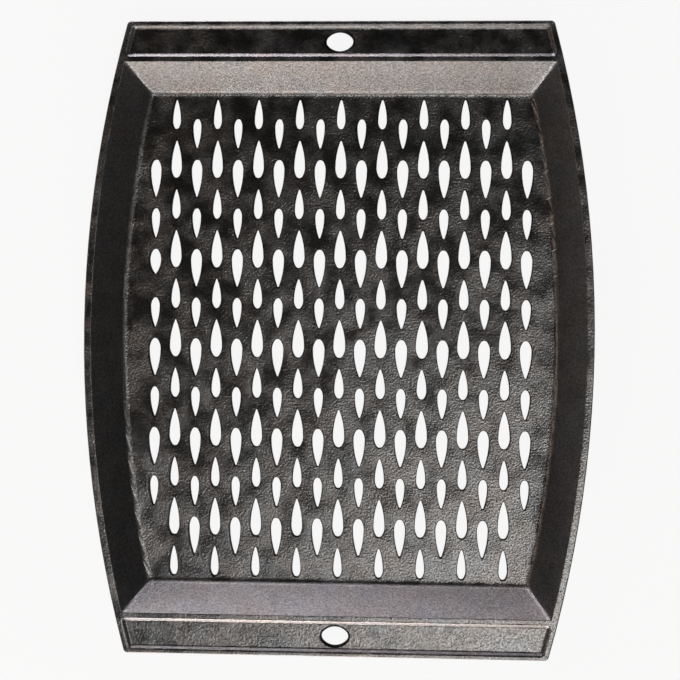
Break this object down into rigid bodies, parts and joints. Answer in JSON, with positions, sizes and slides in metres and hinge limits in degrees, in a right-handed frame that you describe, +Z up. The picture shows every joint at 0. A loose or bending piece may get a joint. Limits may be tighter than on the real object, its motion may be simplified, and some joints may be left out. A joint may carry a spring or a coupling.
{
  "type": "grill topper",
  "caption": "Cast iron grill topper: a shallow tray with arched long sides, a floor of drop-shaped holes and a flat, recessed handle with a hanging hole at each end.",
  "frame": {"origin": "under the middle of the floor, on the plane that the casting stands on", "axes": "+Z up, out of the tray; +Y along the length from one handle to the other; +X across the width, towards one arched side"},
  "size_m": [0.3064, 0.381, 0.0285],
  "materials": {
    "seasoned_iron": "seasoned, sand-cast texture with a soft satin sheen"
  },
  "bodies": {
    "root": {"grill_topper": "seasoned_iron"}
  },
  "joints": []
}
